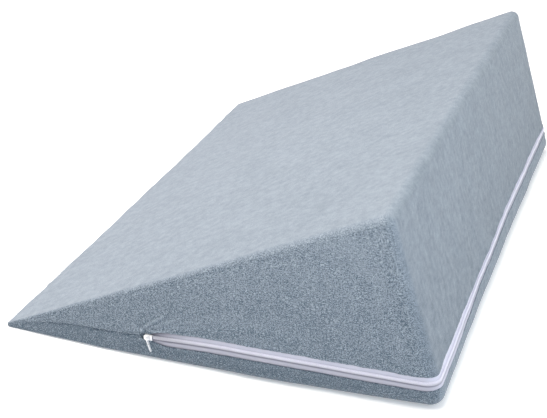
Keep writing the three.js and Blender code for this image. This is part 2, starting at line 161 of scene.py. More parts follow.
def swell(q):
    """The filled cover: sides bow out, thin edge and foot draw in, slope and back are crowned; below the seam
    the border tucks under a little at the sides. Each push is its size times parabolas that are 0 at the
    edges, such as 1 - s s."""
    x, y, z = q[..., 0], q[..., 1], q[..., 2]
    s, t = np.clip(2 * y / WIDTH, -1, 1), np.clip(2 * x / LENGTH, -1, 1)
    across, along = 1 - s * s, 1 - t * t
    front, rear = np.clip(-t, 0, 1) ** 2, np.clip(t, 0, 1) ** 2
    up = np.clip(z / HEIGHT, 0, 1)
    slope_here = (x + LENGTH / 2) * HEIGHT / (LENGTH - LEAN) + TIP
    top = np.clip(z / np.maximum(slope_here, TIP), 0, 1)
    reach = np.clip(1 - ((x - CROWN_X) / (LENGTH / 2)) ** 2, 0, 1)
    new_x = (x + TIP_DRAWN_IN * front * across - FOOT_DRAWN_IN * rear * across * (1 - up) ** 2
             + BACK_CROWN * across * rear * 4 * up * (1 - up))
    new_y = y * (1 + 2 * mix(SIDE_CROWN_LOW, SIDE_CROWN_HIGH, top) / WIDTH * along)
    seam = np.interp(x + LENGTH / 2, SEAM[:, 0], SEAM[:, 1])
    under = TUCKED_UNDER * np.clip(1 - z / seam, 0, 1) ** 1.3
    new_y = new_y * (1 - 2 * under / WIDTH * np.clip(1 + t, 0, 1))
    return np.stack([new_x, new_y, z + SLOPE_CROWN * across * reach * top], -1)


def from_tip(p):
    """Distance from the thin edge, measured along the floor."""
    return mix(FRONT_LOW[0], BACK_LOW[0], p.u) + LENGTH / 2


def u_at(x):
    return (x - LENGTH / 2 - FRONT_LOW[0]) / (BACK_LOW[0] - FRONT_LOW[0])


def upright(p):
    """How steep the wall is there: 1 where it stands straight up."""
    return np.sqrt(1 - normals(p.lu, p.lv, 0.0)[..., 2] ** 2)


def table(rows, x, soften):
    """Looks x up in a table of two columns, averaged over a short stretch so that the line has no kinks."""
    shifts = np.linspace(-soften, soften, 7)
    return np.mean([np.interp(x + d, rows[:, 0], rows[:, 1]) for d in shifts], axis=0)


def seam_height(p):
    """Height along the sides, and the zip's climb across the back, which fades out along the far side."""
    reach = smooth((from_tip(p) - RISE_FROM) / RISE_OVER)
    return table(SEAM, from_tip(p), 6) + table(BACK_RISE, p.v, 0.03) * reach


def wall_w(p, h):
    """The w of a point that lies h up the wall from the seam line."""
    z0, z1 = flat_point(p, 0.0)[..., 2], flat_point(p, 1.0)[..., 2]
    return (seam_height(p) + h * upright(p) - z0) / (z1 - z0)


def on_wall(p, h, out):
    return swell(flat_point(p, wall_w(p, h), 0.0, out))


slider_place = Place(u_at(217.0), 0.0, 0.0, -1.0)
print("slider's place on the near side", on_wall(slider_place, 0.0, 0.0).round(1))

# %% [markdown]
# ## Where the columns stand
# The wall is a tube of columns round the pillow, and the base and slope are caps that join the same
# columns. The columns stand close together near the slider, where the cloth puckers, and in the four
# upright corners, and further apart on the long straight stretches. One list serves the length and one the
# width.

# %% Columns
ROUND = 6


def lift(places):
    """(turn, place) pairs along one direction: rounding, flat stretch, rounding."""
    before = np.linspace(-1, 0, ROUND + 1)[:-1]
    after = np.linspace(0, 1, ROUND + 1)[1:]
    turns = np.concatenate([before, np.zeros(len(places)), after])
    return turns, np.concatenate([np.zeros(ROUND), places, np.ones(ROUND)])


def stretch(stops):
    """Places from a table of (start, spacing) rows; the last row only ends it."""
    parts = [np.linspace(a, b, max(int(round((b - a) / step)), 1), endpoint=False)
             for (a, step), (b, _) in zip(stops, stops[1:])]
    return np.concatenate([*parts, [stops[-1][0]]])


tip_x = LENGTH / 2 + FRONT_LOW[0]
foot_x = LENGTH / 2 + BACK_LOW[0]
turn_long, u_long = lift(u_at(stretch([(tip_x, 2), (12, 4), (60, 6), (160, 3), (196, 1.6), (262, 3), (300, 4),
                                       (foot_x, 0)])))
turn_cross, v_cross = lift(stretch([(0, 0.005), (0.2, 0.012), (0.95, 0.006), (1, 0)]))
N_LONG, N_CROSS = len(u_long), len(v_cross)

near = Place(u_long, 0 * u_long, turn_long, 0 * u_long - 1)
rear = Place(0 * v_cross + 1, v_cross, 0 * v_cross + 1, turn_cross)
far = Place(u_long[::-1], 0 * u_long + 1, turn_long[::-1], 0 * u_long + 1)
front = Place(0 * v_cross, v_cross[::-1], 0 * v_cross - 1, turn_cross[::-1])
ring = Place(*[np.concatenate([a, b[1:], c[1:], d[1:-1]]) for a, b, c, d in zip(near, rear, far, front)])
N_RING = len(ring.u)
print(f"{N_LONG} columns along, {N_CROSS} across, {N_RING} round the wall")

# %% [markdown]
# ## The channel and the seam in section
# Going up the wall, the cloth meets the zip: it folds over in a soft lip, turns back under itself, and the
# tape lies in the hollow behind. In front of the slider the same stretch of wall is only a seam, a narrow
# groove. Both sections are short tables of (height, depth) with the same number of rows, so one can turn
# into the other by a plain mix. A table holds one half, from outside to the middle, with heights counted
# from the seam line, and the other half mirrors it. A sewn fold isn't ruler straight, so the lip's edge
# strays by about half a millimetre, and by one at most. `waves` is the smooth field for this and for all
# other unevenness: fourteen plane waves with seeded directions, so it is the same each run.

# %% Sections of the zip's channel and of the plain seam
ZIP_START, ZIP_OPENING, FIRST_SHOWN = 217.0, 10.0, 0.1
BAND_UP, BAND_DOWN = 8.5, 10.9
NARROWING, NARROW_FROM, NARROW_OVER = 0.42, 0.08, 0.24
MORE_ON_BACK = {BAND_UP: 2.0, BAND_DOWN: 0.8}
SLIDER_ROOM = 4.2
SLIDER_MIDDLE = ZIP_START + 4
TUCK, LESS_TUCK, LEAST_TUCK = 13.0, 1.2, 1.6
CHANNEL_MID, CHANNEL_EDGE = 1.5, 1.9
POCKET, POCKET_END, POCKET_FADE = 2.6, 246.0, 13.0
GROOVE_HALF = 1.6
CUT_FROM, CUT_TO = 205.0, 213.0
COIL_HALF = 2.5
MOST_BELOW, MOST_ABOVE = 0.94, 0.7

# LIP: how far outside the visible edge, and how far out from the wall. HOLLOW: share of the way to the
# hidden edge, and depth. GROOVE: the plain seam's row for each of these.
LIP = np.array([[9.0, 0.0], [5.5, 0.15], [3.2, 0.55], [1.8, 0.85], [0.8, 0.75], [0.15, 0.35], [0.0, -0.1],
                [0.3, -0.42], [1.1, -0.5]])
HOLLOW = np.array([[0.97, -0.6], [1.0, -1.2], [0.97, -1.85], [0.7, -1.9], [0.45, -1.9]])
GROOVE = np.array([[9.0, 0.0], [5.5, 0.05], [3.2, 0.2], [1.8, 0.35], [1.0, 0.3], [0.35, 0.05], [0.05, -0.4],
                   [-0.2, -0.7], [-0.5, -0.95], [-0.75, -1.1], [-0.9, -1.2], [-1.05, -1.3], [-1.2, -1.4],
                   [-1.4, -1.45]])

# Waves in layers of (height, size, seed): how the lips' edges stray
RAGGED = {BAND_UP: [(0.28, 9, 20), (0.3, 26, 21)], BAND_DOWN: [(0.28, 9, 30), (0.3, 26, 31)]}


def waves(q, size, seed, count=14):
    """Sum of plane waves of about one wavelength, random in direction and phase; mostly within 1 of 0."""
    rng = np.random.default_rng(seed)
    way = rng.normal(size=(count, 3))
    way /= np.linalg.norm(way, axis=1, keepdims=True)
    pitch = 2 * np.pi / (size * rng.uniform(0.7, 1.5, count))
    phase = rng.uniform(0, 2 * np.pi, count)
    total = np.zeros(q.shape[:-1])
    for k in range(count):
        total += np.sin((q @ way[k]) * pitch[k] + phase[k])
    return total / np.sqrt(count)


def layered(q, layers):
    """The waves of several layers, each a row of (height, size, seed), added up."""
    return sum(height * waves(q, size, seed) for height, size, seed in layers)


def channel_cut(p):
    return smooth((from_tip(p) - CUT_FROM) / (CUT_TO - CUT_FROM))


def shown(p):
    return 1 - (1 - FIRST_SHOWN) * np.exp(-np.maximum(from_tip(p) - ZIP_START, 0) / ZIP_OPENING)


def visible_half(p, full):
    narrow = 1 - NARROWING * smooth((p.v - NARROW_FROM) / NARROW_OVER)
    on_back = smooth(p.v / 0.03) * smooth((1 - p.v) / 0.1)
    return np.maximum(full * shown(p) * narrow + MORE_ON_BACK[full] * on_back, SLIDER_ROOM)


def off_slider(p, still, fade):
    """0 within a distance of the slider, then 1 further on."""
    return smooth((np.abs(from_tip(p) - SLIDER_MIDDLE) - still) / fade)


def hidden_edge(p, edge):
    """How far the channel reaches behind the lip."""
    return np.maximum(TUCK - LESS_TUCK * (1 - shown(p)), edge + LEAST_TUCK)


def pocket(p):
    """How much deeper the channel is behind the slider, on the near side alone."""
    return POCKET * (p.v == 0) * smooth((POCKET_END - from_tip(p)) / POCKET_FADE) * channel_cut(p)


def half_section(p, full):
    """One half of the wall's section at the seam: heights and depths, rows from outside to the middle."""
    stray = layered(on_wall(p, 0.0, 0.0), RAGGED[full]) * off_slider(p, 10, 15)
    edge = (visible_half(p, full) + stray)[None]
    cut = channel_cut(p)[None]
    lip_h, lip_n = edge + LIP[:, :1], LIP[:, 1:] + 0 * edge
    hollow_h, hollow_n = hidden_edge(p, edge) * HOLLOW[:, :1], HOLLOW[:, 1:] + 0 * edge
    open_h, open_n = np.concatenate([lip_h, hollow_h]), np.concatenate([lip_n, hollow_n])
    shut_h, shut_n = GROOVE_HALF + GROOVE[:, :1] + 0 * edge, GROOVE[:, 1:] + 0 * edge
    h, n = mix(shut_h, open_h, cut), mix(shut_n, open_n, cut)
    under = np.concatenate([np.zeros(len(LIP)), np.ones(len(HOLLOW))])[:, None]
    return h, n - under * pocket(p)[None]


def room(p):
    """How much wall there is below and above the seam line, in millimetres along the wall."""
    z0, z1 = flat_point(p, 0.0)[..., 2], flat_point(p, 1.0)[..., 2]
    return (seam_height(p) - z0) / upright(p), (z1 - seam_height(p)) / upright(p)


def seam_rows(p):
    """Heights and depths of all rows across the seam, bottom to top, squeezed where the wall is low, so that
    they take up no more than a set share of the room."""
    below, above = room(p)
    up_h, up_n = half_section(p, BAND_UP)
    down_h, down_n = half_section(p, BAND_DOWN)
    k_down = np.minimum(1, MOST_BELOW * below / down_h.max(0))
    k_up = np.minimum(1, MOST_ABOVE * above / up_h.max(0))
    k = np.minimum(k_down, k_up)
    middle = -CHANNEL_MID - pocket(p)
    h = np.concatenate([-down_h * k_down, 0 * k[None], up_h[::-1] * k_up])
    n = np.concatenate([down_n * k, (middle * k)[None], up_n[::-1] * k])
    return h, n


heights, depths = seam_rows(ring)
print(f"{len(heights)} rows across the seam; deepest point {depths.min():.1f} mm")

# %% [markdown]
# ## Unevenness
# No sewn cover is quite even. Long waves give the foam's faint unevenness, and short ones the small puckers
# that sewing leaves beside a seam. The zip follows the foam too, so what lies in the channel shares its
# waves. The creases near the slider are soft ridges, each a bell curve along a line on the near side, with a
# shallow valley beside it.

# %% Puckers and creases
FOAM_WAVES = [(0.45, 140, 1), (0.22, 46, 2)]
PUCKERS, PUCKERS_REACH = [(0.28, 11, 3), (0.2, 24, 4)], 9.0
CREASES = [
    # from x, z to x, z on the near side; half width; height
    (-99.0, 42.0, -66.0, 69.0, 1.7, 2.0),
    (-90.0, 43.0, -44.0, 70.0, 1.8, 1.5),
    (-80.0, 42.0, -40.0, 58.0, 2.2, 1.0),
    (-97.0, 41.0, -114.0, 47.0, 1.6, 1.5),
    (-98.0, 39.0, -122.0, 40.5, 1.6, 1.2),
    (-96.0, 28.0, -116.0, 24.0, 1.8, 1.0),
    (-80.0, 24.0, -62.0, 20.0, 2.0, 0.8),
    (-284.0, 16.0, -246.0, 22.0, 2.0, 0.8),
]


def crease_lift(q):
    """Each crease: its height times a bell curve of the distance from its line, fading at both ends."""
    total = np.zeros(q.shape[:-1])
    xz = q[..., [0, 2]]
    for x0, z0, x1, z1, half, height in CREASES:
        start, run = np.array([x0, z0]), np.array([x1 - x0, z1 - z0])
        t = np.clip(((xz - start) @ run) / (run @ run), 0, 1)
        gap = np.linalg.norm(xz - start - t[..., None] * run, axis=-1)
        total += height * np.exp(-((gap / half) ** 2)) * np.sqrt(np.clip(1 - t, 0, 1))
        total -= 0.2 * height * np.exp(-(((gap - 2 * half) / (1.3 * half)) ** 2)) * np.clip(1 - t, 0, 1)
    return total * (q[..., 1] < -0.45 * WIDTH)


def unevenness(q):
    """How far out the foam's slow waves push the cloth at a point."""
    return layered(q, FOAM_WAVES)


def puckers(q, h):
    """Small puckers beside the seam; they fade a finger's breadth away from it."""
    return layered(q, PUCKERS) * np.exp(-np.abs(h) / PUCKERS_REACH)


def zip_lift(p):
    """The unevenness at the seam line, shared by all in the channel; none at the slider or the stop."""
    return unevenness(on_wall(p, 0.0, 0.0)) * off_slider(p, 8, 25)


def in_channel(p, h, out):
    """A point of the zip, which follows the foam as the cover does."""
    return on_wall(p, h, out) + normals(p.lu, p.lv, 0.0) * zip_lift(p)[..., None]


# %% [markdown]
# ## The cover as one closed surface
# The rows go up the wall: the rounding at the foot, the turned-up border, the seam or channel, the upper
# cover, and the rounding at the top. The base and the slope close the tube. Every vertex is worked out at
# once as an array, and the faces are index arrays, so that neighbouring patches share their edge vertices.

# %% Rows of the wall
LOWER, UPPER = 6, 44


def wall_grid(p):
    """Points of the wall, its normals, and heights from the seam: rows from base to slope, columns round."""
    h_seam, n_seam = seam_rows(p)
    w_seam = wall_w(p, h_seam)
    low = np.linspace(0, 1, LOWER + 1)[:-1, None] * w_seam[:1]
    t = np.linspace(0, 1, UPPER + 1)[1:, None]
    high = mix(w_seam[-1:], 1.0, t ** 1.15)
    foot = np.linspace(-1, 0, ROUND + 1)[:-1, None]
    head = np.linspace(0, 1, ROUND + 1)[1:, None]
    w = np.concatenate([0 * foot + 0 * p.u, low, w_seam, high, 0 * head + 1 + 0 * p.u])
    lw = np.concatenate([foot + 0 * p.u, 0 * low, 0 * w_seam, 0 * high, head + 0 * p.u])
    out = np.concatenate([0 * foot + 0 * p.u, 0 * low, n_seam, 0 * high, 0 * head + 0 * p.u])
    below, above = room(p)
    h = np.concatenate([0 * foot - below, mix(-below, h_seam[:1], low / np.maximum(w_seam[:1], 1e-6)), h_seam,
                        mix(h_seam[-1:], above, t), 0 * head + above])
    return flat_point(p, w, lw, out), normals(p.lu, p.lv, lw), h


def cap_grid(w, lw):
    down, across = 0 * u_long[:, None], 0 * v_cross
    p = Place(u_long[:, None] + across, v_cross + down, turn_long[:, None] + across, turn_cross + down)
    return flat_point(p, w, lw), normals(p.lu, p.lv, lw)


wall, wall_n, wall_h = wall_grid(ring)
base, base_n = cap_grid(0.0, -1.0)
slope, slope_n = cap_grid(1.0, 1.0)
print("wall", wall.shape, "caps", base.shape)

# %% Joining the patches
inside = (slice(1, -1), slice(1, -1))


def stack(wall_part, base_part, slope_part):
    """One array for all vertices: the wall, then the inside of the base, then the inside of the slope."""
    tail = wall_part.shape[2:]
    return np.concatenate([wall_part.reshape(-1, *tail), base_part[inside].reshape(-1, *tail),
                           slope_part[inside].reshape(-1, *tail)])


def cap_index(row_start, first_inner):
    """Vertex numbers of a cap's grid: its border is a row of the wall, its inside follows in order."""
    index = np.zeros((N_LONG, N_CROSS), int)
    index[inside] = first_inner + np.arange((N_LONG - 2) * (N_CROSS - 2)).reshape(N_LONG - 2, N_CROSS - 2)
    i, j = np.arange(N_LONG), np.arange(N_CROSS)
    index[i, 0] = row_start + i
    index[-1, j] = row_start + N_LONG - 1 + j
    index[i[::-1], -1] = row_start + N_LONG + N_CROSS - 2 + i
    index[0, j[1:-1][::-1]] = row_start + 2 * N_LONG + N_CROSS - 2 + np.arange(N_CROSS - 2)
    return index


def quads(index, flip=False):
    """Faces of a grid of vertex numbers, wound one way or the other."""
    a, b, c, d = index[:-1, :-1], index[1:, :-1], index[1:, 1:], index[:-1, 1:]
    order = (a, b, c, d) if not flip else (a, d, c, b)
    return np.stack([x.ravel() for x in order], -1)


rows = wall.shape[0]
tube = np.arange(rows * N_RING).reshape(rows, N_RING)
tube = np.concatenate([tube, tube[:, :1]], 1)
n_inner = (N_LONG - 2) * (N_CROSS - 2)
base_index = cap_index(0, rows * N_RING)
slope_index = cap_index((rows - 1) * N_RING, rows * N_RING + n_inner)
cover_faces = np.concatenate([quads(tube, True), quads(base_index, True), quads(slope_index)])
print(len(cover_faces), "faces in the cover")

# %% Meshes from arrays


def make_mesh(name, points, faces, sharp=False):
    """A mesh object at the origin from points in millimetres and an array of quads."""
    mesh = bpy.data.meshes.new(name)
    mesh.from_pydata((points * MM).tolist(), [], faces.tolist())
    mesh.update()
    mesh.polygons.foreach_set("use_smooth", np.full(len(faces), not sharp))
    obj = bpy.data.objects.new(name, mesh)
    bpy.context.scene.collection.objects.link(obj)
    return obj


def paint(obj, name, values):
    """Puts one number for each vertex on the mesh, for the material to read."""
    layer = obj.data.attributes.new(name, "FLOAT", "POINT")
    layer.data.foreach_set("value", np.asarray(values, np.float32).ravel())


# %% The cover
wall_at = swell(wall)

# Puckers and creases move the cloth outside the lip, and fade out over its edge
outer_rows = np.array([1, 1, 1, 1, 1, 0.7, 0.2] + [0] * (len(LIP) + len(HOLLOW) - 7))
cloth_rows = [np.ones(ROUND + LOWER), outer_rows, [0], outer_rows[::-1], np.ones(UPPER + ROUND)]
cloth_rows = np.concatenate(cloth_rows)[:, None]
wall_out = mix(zip_lift(ring)[None], unevenness(wall_at), smooth((np.abs(wall_h) - TUCK) / TUCK))
wall_crease = crease_lift(wall_at) * cloth_rows
wall_out = wall_out + puckers(wall_at, wall_h) * cloth_rows + wall_crease
wall_at = wall_at + wall_n * wall_out[..., None]
slope_at, base_at = swell(slope), swell(base)
slope_at = slope_at + slope_n * unevenness(slope_at)[..., None]
cover_points = stack(wall_at, base_at, slope_at)
cover_normals = stack(wall_n, base_n, slope_n)
cover_points[:, 2] = np.clip(cover_points[:, 2], 0, None)
cover = make_mesh("terry_cover", cover_points, cover_faces)
print("cover from", cover_points.min(0).round(1), "to", cover_points.max(0).round(1))

# %% [markdown]
# ## Where the loops stand up
# Terry loops are flatter where the cloth is stretched over the slope and the back, and stand up on the
# sides and on the turned-up border. The border's loops also point down, and the border carries painted
# shade, so it looks darker, least so on the back. On the back the cloth was pulled upwards, which leaves
# faint upright streaks. Painted light makes the sides paler towards the top and darker low down, and the
# back darker low down; painted shade darkens the far corner of the slope a little. A crease gets a painted
# highlight along its ridge and painted shade in the valley beside it. The material reads each of these as
# one number for each vertex, worked out from the way the surface faces and from its height.

# %% Loop attributes
LOOPS_LYING, BORDER_LOOPS, BORDER_LOOPS_AT_SIDES = 0.2, 0.35, 0.85
BORDER_SHADE_LESS_ON_BACK = 1.7
SIDE_PAINTED_LIGHT, SIDE_EVEN_AT = 0.26, 0.57
BACK_PAINTED_LIGHT, BACK_EVEN_AT = 0.16, 1.2
FAR_SLOPE_SHADE = 0.05

flat_base, flat_slope = np.zeros(base.shape[:2]), np.zeros(slope.shape[:2])
side_facing = np.abs(cover_normals[:, 1]) ** 1.5
back_facing = np.clip(cover_normals[:, 0], 0, 1) ** 2
border = stack(smooth((3 - wall_h) / 6), flat_base + 1, flat_slope)
standing = mix(LOOPS_LYING, 1, side_facing)
paint(cover, "loops", np.maximum(standing, border * (BORDER_LOOPS + BORDER_LOOPS_AT_SIDES * side_facing)))
# painted shade on the turned-up border, less of it on the back
paint(cover, "border", border * (1 - BORDER_SHADE_LESS_ON_BACK * back_facing))
paint(cover, "streaks", back_facing)
# painted highlight along each crease's ridge, painted shade in the valley beside it
paint(cover, "creases", stack(wall_crease, flat_base, flat_slope))
tall = cover_points[:, 2] / HEIGHT
# painted shade: the far corner of the slope a little darker
far_slope_shade = FAR_SLOPE_SHADE * smooth((slope_at[..., 0] + 0.5 * slope_at[..., 1]) / 300)
# painted light: the sides paler towards the top and darker low down, the back darker low down
side_painted_light = side_facing * (tall - SIDE_EVEN_AT) * SIDE_PAINTED_LIGHT * (1 - border)
back_painted_light = back_facing * (tall - BACK_EVEN_AT) * BACK_PAINTED_LIGHT
paint(cover, "lie", side_painted_light + back_painted_light - stack(0 * wall_h, flat_base, far_slope_shade))
print(f"border on {np.mean(border > 0.5):.0%} of the vertices")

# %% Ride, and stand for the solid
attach(cover, "root")
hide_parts("cushion")

# %% [markdown]
# ## The zip's tapes
# Each tape is a strip of woven cloth a little under a millimetre thick. It follows the same columns as the
# wall, from inside the slider along the near side, round the back and down the far side. Its inner edge
# carries the chain: a cord runs inside each coil, and the tape rises over it, so little shade shows between
# the teeth. The lower tape bulges out a little, which leaves a thin dark valley beside the chain. Its outer
# edge runs on under the cover's lip, where the real one is sewn in. Its UV map runs along and across it.

# %% Zip path
zip_from = int(np.searchsorted(u_long, u_at(ZIP_START + 0.5)))
zip_to = N_LONG + N_CROSS - 2 + (N_LONG - zip_from)
path = Place(*[a[zip_from:zip_to] for a in ring])
mid_line = in_channel(path, 0.0, 0.0)
steps = np.linalg.norm(np.diff(mid_line, axis=0), axis=1)
run = np.concatenate([[0], np.cumsum(steps)])
print(f"zip path: {len(run)} columns, {run[-1]:.0f} mm long")

# %% Tape strips
TAPE, GAP, TAPE_REACH = 0.8, 0.3, 0.95
UP, DOWN = 1, -1
BAND = {UP: BAND_UP, DOWN: BAND_DOWN}
HALF_CHAIN = {UP: COIL_HALF + 0.8, DOWN: COIL_HALF}
CORD, CORD_FROM = 0.7, 9.0
BULGE, BULGE_FROM = {UP: 0.2, DOWN: 1.0}, 12.0
RIPPLE = {UP: [(0.12, 30, 8)], DOWN: [(0.12, 30, 6)]}
CHAIN_ROWS = np.array([GAP / 2, 0.6, 1.4, 2.1, 2.5, 3.0, 3.6])
OUTER_SHARES = np.array([0.16, 0.34, 0.52, 0.7, 0.84, 0.94, 1.0])
PAINTED_LIGHT_ON_BACK, SHADE_BY_SLIDER, SHADE_BY_LIP = 0.3, {UP: 0.7, DOWN: 0.15}, 0.7
DARK_OVER, LIP_DARK_OVER = 35.0, 60.0
UV_PER_MM = 0.01


def channel_floor(h):
    """Depth of the hollow behind the tape: shallow at the chain, deeper under the lips."""
    return mix(CHANNEL_MID, CHANNEL_EDGE, np.clip(np.abs(h) / (0.45 * TUCK), 0, 1))


def tape(name, sign):
    """A closed strip: the section goes along the back of the tape and returns along its front. The back is
    the hollow's floor plus a gap, ripple and bulge; the front is the back plus the cloth and the cord."""
    visible = visible_half(path, BAND[sign])
    outer = TAPE_REACH * hidden_edge(path, visible)
    chain = CHAIN_ROWS[:, None] + 0 * outer
    off_middle = np.concatenate([chain, mix(chain[-1:], outer, OUTER_SHARES[:, None])])
    share = off_middle / outer
    ripple = layered(mid_line, RIPPLE[sign]) * share
    inside_lip = visible - off_middle
    bulge = BULGE[sign] * smooth((off_middle - 2.8) / 1.6) * smooth((inside_lip + 0.6) / 2.8)
    behind = -channel_floor(off_middle) + GAP + ripple + bulge * smooth((run - BULGE_FROM) / 10)
    ends_soft = np.clip(4 * (0.04 + share) * (1 - share), 0, 1) ** 0.3
    cord = CORD * smooth((HALF_CHAIN[sign] - off_middle) / 0.6) * smooth((run - CORD_FROM) / 4)
    before = behind + TAPE * mix(0.6, 1.0, ends_soft) + cord

    h = sign * np.concatenate([off_middle, off_middle[::-1]])
    points = in_channel(Place(*[a[None] for a in path]), h, np.concatenate([behind, before[::-1]]))
    count, length = points.shape[:2]
    index = np.arange(count * length).reshape(count, length)
    faces = [quads(np.concatenate([index, index[:1]]), sign == UP)]
    half = count // 2
    for end, flip in ((0, sign == UP), (-1, sign == DOWN)):
        faces.append(quads(np.stack([index[:half, end], index[::-1][:half, end]]), flip))
    obj = make_mesh(name, points.reshape(-1, 3), np.concatenate(faces))

    add_uv(obj, np.stack([0 * h + run * UV_PER_MM, h / TUCK], -1).reshape(-1, 2))
    # painted light on the back; painted shade near the slider and beside the lips there
    on_back = np.clip(normals(path.lu, path.lv, 0.0)[:, 0], 0, 1) ** 2
    by_lip = smooth(1 - np.concatenate([inside_lip, inside_lip[::-1]]) / 2.5) * np.exp(-run / LIP_DARK_OVER)
    dark = SHADE_BY_SLIDER[sign] * (np.exp(-run / DARK_OVER) + SHADE_BY_LIP * by_lip)
    paint(obj, "light", PAINTED_LIGHT_ON_BACK * on_back - dark)
    return obj


def add_uv(obj, vertex_uv):
    """A UV map from one pair of numbers for each vertex."""
    corner = np.zeros(len(obj.data.loops), int)
    obj.data.loops.foreach_get("vertex_index", corner)
    layer = obj.data.uv_layers.new(name="cloth")
    layer.data.foreach_set("uv", vertex_uv[corner].astype(np.float32).ravel())


for name, node, sign in (("tape_above", "zip_tape_upper", UP), ("tape_below", "zip_tape_lower", DOWN)):
    strip = tape(name, sign)
    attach(strip, "root")
    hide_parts(node)

# %% [markdown]
# ## The chain's teeth
# A nylon zip's chain is two coils. Each turn shows as a small rounded rod that reaches over the middle, and
# the rods of the two coils lie between one another. One rod is a tapered tube of a few dozen faces, and the
# whole row is one mesh: the rod's points are laid out in every frame along the path with one array product.
# Light falls between the teeth less easily low down, and the cover shades them near the slider, so each tooth
# carries a number for how lit it is: painted light and shade in its colour.

# %% Frames along the path
PITCH = 1.3


def unit(a):
    return a / np.linalg.norm(a, axis=-1, keepdims=True)


def along_path(points, s):
    """Points given for each column of the path, read off at distances s."""
    return np.stack([np.interp(s, run, points[:, k]) for k in range(3)], -1)


def frames_along(s):
    """Centre, forward, up-the-wall and outward directions at distances s along the zip."""
    centre = along_path(mid_line, s)
    outward = unit(along_path(in_channel(path, 0.0, 1.0), s) - centre)
    upward = along_path(in_channel(path, 1.0, 0.0), s) - centre
    forward = unit(np.cross(upward, outward))
    return centre, forward, np.cross(outward, forward), outward


# %% One row of teeth
TOOTH_REACH, TOOTH_HALF, TOOTH_RISE, CREST = 0.45, 0.52, 1.6, 1.2
SEAT = GAP + TAPE - CHANNEL_MID + 0.1
RINGS, SIDES = 7, 6
FIRST_TOOTH, AFTER_LAST_TOOTH = 6.5, 12.0


def tooth_profile(sign):
    """A rod across the chain, in rings of points: along, up, out. It stands on the seat, and its height
    follows half an ellipse whose crest is a little above the chain's middle."""
    t = np.linspace(0, 1, RINGS)[:, None]
    round_rod = np.linspace(0, 2 * np.pi, SIDES + 1)[None, :-1]
    fat = np.clip(1 - (2 * t - 1) ** 6, 0.02, 1) ** 0.5 * mix(1.0, 1.12, np.exp(-((t / 0.25) ** 2)))
    up = sign * mix(-TOOTH_REACH, HALF_CHAIN[sign], t) + 0 * round_rod
    along = TOOTH_HALF * fat * np.cos(round_rod)
    crown = np.sqrt(np.clip(1 - ((up - CREST) / (COIL_HALF + CREST + 0.4)) ** 2, 0, 1))
    out = SEAT + TOOTH_RISE * crown / 2 * (1 + fat * np.sin(round_rod) * 0.96)
    return np.stack([along, up, out], -1).reshape(-1, 3)


def teeth(name, sign):
    """A row of rods, one for each pitch along the path."""
    s = np.arange(FIRST_TOOTH, run[-1] - AFTER_LAST_TOOTH, PITCH) + (PITCH / 2 if sign == UP else 0)
    centre, forward, upward, outward = frames_along(s)
    rod = tooth_profile(sign)
    points = (centre[:, None] + rod[None, :, :1] * forward[:, None] + rod[None, :, 1:2] * upward[:, None]
              + rod[None, :, 2:] * outward[:, None])
    rings = np.arange(RINGS * SIDES).reshape(RINGS, SIDES)
    body = quads(np.concatenate([rings, rings[:, :1]], 1), sign == UP)
    start, end = rings[0], rings[-1]
    tips = np.array([start[:4], start[[0, 3, 4, 5]], end[[0, 3, 2, 1]], end[[0, 5, 4, 3]]])
    one = np.concatenate([body, tips if sign == UP else tips[:, ::-1]])
    faces = (one[None] + (np.arange(len(s)) * len(rod))[:, None, None]).reshape(-1, 4)
    obj = make_mesh(name, points.reshape(-1, 3), faces)
    # painted shade near the slider, where the cover closes over the chain
    shade_near_slider = 2.0 * np.exp(-s / DARK_OVER)[:, None]
    paint(obj, "lit", smooth((rod[:, 1] + 2.6) / 4.4)[None] - shade_near_slider)
    print(f"{name}: {len(s)} teeth, {len(faces)} faces")
    return obj


# Each row of nylon stands for its plain ridge in the solids
for name, node, sign in (("teeth_above", "coil_upper", UP), ("teeth_below", "coil_lower", DOWN)):
    row = teeth(name, sign)
    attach(row, "root")
    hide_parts(node)

# %% [markdown]
# ## Slider, pull and stop
# These small cast pieces already have their true shape in the solids, with sharp edges. A cast and
# enamelled piece has soft edges that catch the light. So each is copied, its loose triangles are merged, a
# Bevel modifier rounds the edges, and a Weighted Normal modifier keeps the flat faces flat.

# %% Cast pieces


def cast_copy(node, name, bevel):
    """A merged copy of a solid with rounded edges."""
    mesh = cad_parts[node].data.copy()
    mesh.name = name
    mesh.materials.clear()
    obj = bpy.data.objects.new(name, mesh)
    bpy.context.scene.collection.objects.link(obj)
    bm = bmesh.new()
    bm.from_mesh(mesh)
    bmesh.ops.remove_doubles(bm, verts=bm.verts, dist=1e-6)
    bmesh.ops.dissolve_limit(bm, angle_limit=0.02, verts=bm.verts, edges=bm.edges)
    bm.to_mesh(mesh)
    bm.free()
    mesh.polygons.foreach_set("use_smooth", [True] * len(mesh.polygons))
    soft = obj.modifiers.new("soft edges", "BEVEL")
    soft.width, soft.segments, soft.limit_method, soft.angle_limit = bevel * MM, 3, "ANGLE", np.radians(28)
    obj.modifiers.new("flat faces stay flat", "WEIGHTED_NORMAL")
    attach(obj, "root")
    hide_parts(node)
    print(f"{name}: {len(mesh.polygons)} faces before the bevel")


cast_copy("slider_body", "slider", 0.25)
cast_copy("pull_tab", "pull", 0.22)
cast_copy("bottom_stop", "stop", 0.4)

# %% [markdown]
# ## Shader maths
# A material's sums are easier to read as sums. `Wire` wraps a node's output and gives it the usual
# operators, and `Board` makes any other node from its type, its settings and what goes into its sockets.

# %% Wires and boards


class Wire:
    """A node's output that can be added, multiplied and so on."""

    def __init__(self, board, socket):
        self.board, self.socket = board, socket

    def maths(self, kind, a, b):
        return self.board.node("ShaderNodeMath", {"operation": kind}, {0: a, 1: b})

    def __add__(self, other):
        return self.maths("ADD", self, other)

    def __sub__(self, other):
        return self.maths("SUBTRACT", self, other)

    def __rsub__(self, other):
        return self.maths("SUBTRACT", other, self)

    def __mul__(self, other):
        return self.maths("MULTIPLY", self, other)

    __radd__, __rmul__ = __add__, __mul__


